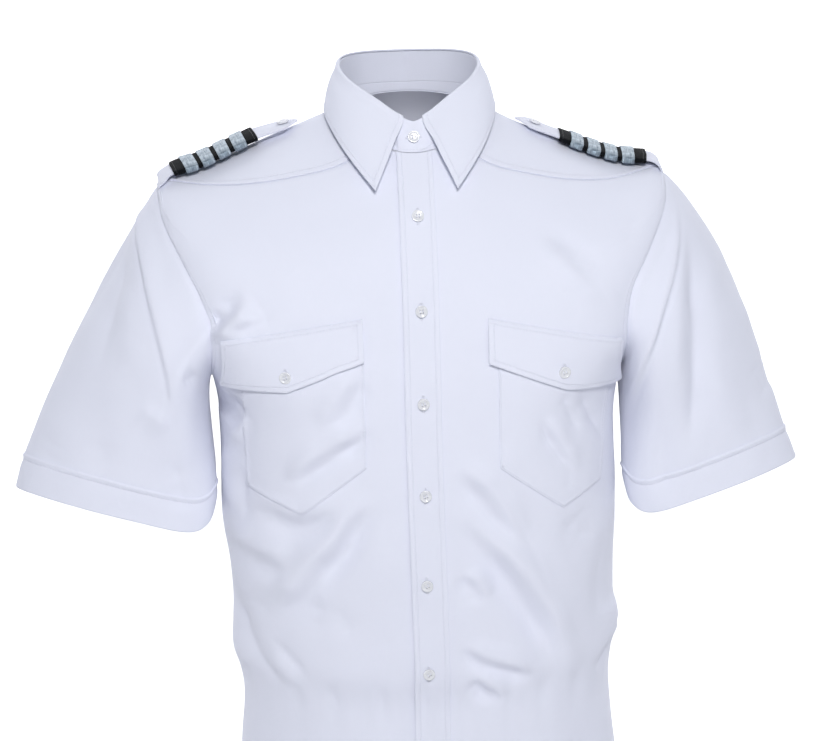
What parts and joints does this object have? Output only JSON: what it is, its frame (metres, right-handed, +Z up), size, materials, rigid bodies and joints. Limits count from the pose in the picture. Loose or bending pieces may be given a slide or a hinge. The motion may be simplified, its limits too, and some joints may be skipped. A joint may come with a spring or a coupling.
{
  "type": "pilot shirt",
  "caption": "Short-sleeved white pilot shirt in its worn shape, with a point collar, flapped pointed breast pockets, and shoulder straps carrying striped rank slides.",
  "frame": {"origin": "the neck base, midway between the two side neck points where the shoulder line meets the collar; it is the mount wearer_shoulders, where a wearer or form holds the shirt", "axes": "+Z up, -Y the wearer's front, +X the wearer's left"},
  "size_m": [0.754, 0.2554, 0.8422],
  "materials": {
    "front_left": "fine plain-weave white shirting, matt",
    "front_right": "fine plain-weave white shirting, matt",
    "yoke": "fine plain-weave white shirting, matt",
    "back": "fine plain-weave white shirting, matt",
    "sleeve_left": "fine plain-weave white shirting, matt",
    "sleeve_right": "fine plain-weave white shirting, matt",
    "sleeve_hem_left": "fine plain-weave white shirting, matt",
    "sleeve_hem_right": "fine plain-weave white shirting, matt",
    "collar_stand": "fine plain-weave white shirting, matt",
    "collar_leaf": "fine plain-weave white shirting, matt",
    "placket": "fine plain-weave white shirting, matt",
    "pocket_left": "fine plain-weave white shirting, matt",
    "pocket_right": "fine plain-weave white shirting, matt",
    "flap_left": "fine plain-weave white shirting, matt",
    "flap_right": "fine plain-weave white shirting, matt",
    "strap_left": "fine plain-weave white shirting, matt",
    "strap_right": "fine plain-weave white shirting, matt",
    "slide_left": "matt black cloth",
    "slide_right": "matt black cloth",
    "stripe_left_1": "woven silver braid, softly shiny",
    "stripe_left_2": "woven silver braid, softly shiny",
    "stripe_left_3": "woven silver braid, softly shiny",
    "stripe_left_4": "woven silver braid, softly shiny",
    "stripe_right_1": "woven silver braid, softly shiny",
    "stripe_right_2": "woven silver braid, softly shiny",
    "stripe_right_3": "woven silver braid, softly shiny",
    "stripe_right_4": "woven silver braid, softly shiny",
    "collar_button": "pearly white",
    "front_button_1": "pearly white",
    "front_button_2": "pearly white",
    "front_button_3": "pearly white",
    "front_button_4": "pearly white",
    "front_button_5": "pearly white",
    "front_button_6": "pearly white",
    "front_button_7": "pearly white",
    "flap_button_left": "pearly white",
    "flap_button_right": "pearly white",
    "strap_button_left": "pearly white",
    "strap_button_right": "pearly white"
  },
  "bodies": {
    "root": {"front_left": "front_left", "front_right": "front_right", "yoke": "yoke", "back": "back", "sleeve_left": "sleeve_left", "sleeve_right": "sleeve_right", "sleeve_hem_left": "sleeve_hem_left", "sleeve_hem_right": "sleeve_hem_right", "collar_stand": "collar_stand", "collar_leaf": "collar_leaf", "placket": "placket", "pocket_left": "pocket_left", "pocket_right": "pocket_right", "flap_left": "flap_left", "flap_right": "flap_right", "strap_left": "strap_left", "strap_right": "strap_right", "slide_left": "slide_left", "slide_right": "slide_right", "stripe_left_1": "stripe_left_1", "stripe_left_2": "stripe_left_2", "stripe_left_3": "stripe_left_3", "stripe_left_4": "stripe_left_4", "stripe_right_1": "stripe_right_1", "stripe_right_2": "stripe_right_2", "stripe_right_3": "stripe_right_3", "stripe_right_4": "stripe_right_4", "collar_button": "collar_button", "front_button_1": "front_button_1", "front_button_2": "front_button_2", "front_button_3": "front_button_3", "front_button_4": "front_button_4", "front_button_5": "front_button_5", "front_button_6": "front_button_6", "front_button_7": "front_button_7", "flap_button_left": "flap_button_left", "flap_button_right": "flap_button_right", "strap_button_left": "strap_button_left", "strap_button_right": "strap_button_right"}
  },
  "joints": []
}
